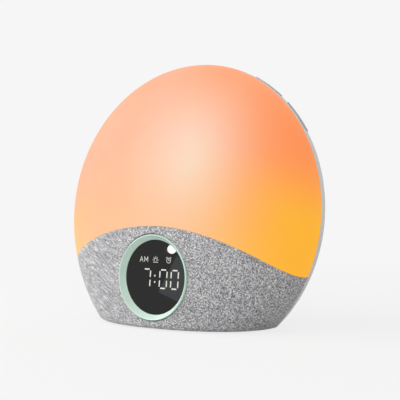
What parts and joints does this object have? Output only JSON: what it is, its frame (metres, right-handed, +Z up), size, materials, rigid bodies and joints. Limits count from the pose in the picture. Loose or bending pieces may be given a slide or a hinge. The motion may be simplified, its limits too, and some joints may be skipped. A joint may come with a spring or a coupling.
{
  "type": "sunrise alarm clock",
  "caption": "Bedside sunrise alarm clock: round glowing dome over a fabric-covered foot with a round digital display, shoulder keys and a speaker at the back.",
  "frame": {"origin": "on the table, under the middle of the clock's bounding box", "axes": "+Z up, the display looks along -Y, +X to the viewer's right as the display is read"},
  "size_m": [0.212, 0.0918, 0.185],
  "materials": {
    "diffuser": "translucent, smooth satin, lit warm from inside",
    "fabric": "heathered grey woven cloth with a fine diagonal rib",
    "mint_ring": "fine satin moulding",
    "window": "smoked, polished",
    "lit_signs": "lit, plain",
    "back_grey": "fine spark texture",
    "base_grey": "fine spark texture",
    "key_grey": "satin moulding",
    "foot_rubber": "matt, moulded",
    "carrier_plastic": "as moulded",
    "white_plastic": "as moulded",
    "frame_plastic": "as moulded",
    "black_plastic": "as moulded",
    "board_white": "white solder mask",
    "board_green": "green solder mask",
    "led_white": "cast resin",
    "led_amber": "cast resin",
    "bright_metal": "nickel plated",
    "screw_steel": "zinc plated",
    "speaker_steel": "matt black",
    "speaker_paper": "pressed pulp",
    "magnet": "sintered, dark",
    "coil_wire": "wound enamelled wire",
    "ribbon": "flat cable",
    "lead_red": "insulated wire",
    "lead_yellow": "insulated wire"
  },
  "bodies": {
    "body": {"diffuser_dome": "diffuser", "fabric_cover": "fabric", "front_carrier": "carrier_plastic", "bezel_ring": "mint_ring", "display_lens": "window", "digit_segments": "lit_signs", "display_icons": "lit_signs", "display_module": "black_plastic", "display_board": "board_green", "bezel_screws": "screw_steel", "light_baffle": "white_plastic", "lamp_reflector": "white_plastic", "lamp_board": "board_white", "white_leds": "led_white", "amber_leds": "led_amber", "mid_frame": "frame_plastic", "front_screws": "screw_steel", "base_plate": "base_grey", "base_screws": "screw_steel", "rubber_feet": "foot_rubber", "rear_shell": "back_grey", "shell_screws": "screw_steel", "rear_panel": "back_grey", "panel_screws": "screw_steel", "right_key_board": "board_green", "left_key_board": "board_green", "right_switches": "black_plastic", "left_switches": "black_plastic", "key_board_screws": "screw_steel", "rear_switches": "black_plastic", "main_board": "board_green", "board_screws": "screw_steel", "main_chips": "black_plastic", "cell_holder": "black_plastic", "backup_cell": "bright_metal", "lead_sockets": "white_plastic", "usb_c_inlet": "bright_metal", "speaker_frame": "speaker_steel", "speaker_gasket": "foot_rubber", "speaker_surround": "foot_rubber", "speaker_cone": "speaker_paper", "speaker_dust_cap": "speaker_paper", "voice_coil": "coil_wire", "speaker_magnet": "magnet", "speaker_screws": "screw_steel", "ribbon_cable": "ribbon", "speaker_leads": "lead_red", "lamp_leads": "lead_yellow"},
    "right_upper_key": {"right_upper_key": "key_grey"},
    "right_lower_key": {"right_lower_key": "key_grey"},
    "left_upper_key": {"left_upper_key": "key_grey"},
    "left_lower_key": {"left_lower_key": "key_grey"},
    "rear_key_left": {"rear_key_left": "key_grey"},
    "rear_key_middle": {"rear_key_middle": "key_grey"},
    "rear_key_right": {"rear_key_right": "key_grey"}
  },
  "joints": [
    {"name": "right_upper_key_press", "type": "slide", "parent": "body", "child": "right_upper_key", "axis": [-0.6494, -0.0757, -0.7566], "range_m": [0, 0.0005], "stiffness_N_per_m": 1500, "springref_m": -0.0003},
    {"name": "right_lower_key_press", "type": "slide", "parent": "body", "child": "right_lower_key", "axis": [-0.6494, -0.0757, -0.7566], "range_m": [0, 0.0005], "stiffness_N_per_m": 1500, "springref_m": -0.0003},
    {"name": "left_upper_key_press", "type": "slide", "parent": "body", "child": "left_upper_key", "axis": [0.6494, -0.0757, -0.7566], "range_m": [0, 0.0005], "stiffness_N_per_m": 1500, "springref_m": -0.0003},
    {"name": "left_lower_key_press", "type": "slide", "parent": "body", "child": "left_lower_key", "axis": [0.6494, -0.0757, -0.7566], "range_m": [0, 0.0005], "stiffness_N_per_m": 1500, "springref_m": -0.0003},
    {"name": "rear_key_left_press", "type": "slide", "parent": "body", "child": "rear_key_left", "axis": [0, -0.995, 0.0995], "range_m": [0, 0.0005], "stiffness_N_per_m": 1500, "springref_m": -0.0003},
    {"name": "rear_key_middle_press", "type": "slide", "parent": "body", "child": "rear_key_middle", "axis": [0, -0.995, 0.0995], "range_m": [0, 0.0005], "stiffness_N_per_m": 1500, "springref_m": -0.0003},
    {"name": "rear_key_right_press", "type": "slide", "parent": "body", "child": "rear_key_right", "axis": [0, -0.995, 0.0995], "range_m": [0, 0.0005], "stiffness_N_per_m": 1500, "springref_m": -0.0003}
  ]
}
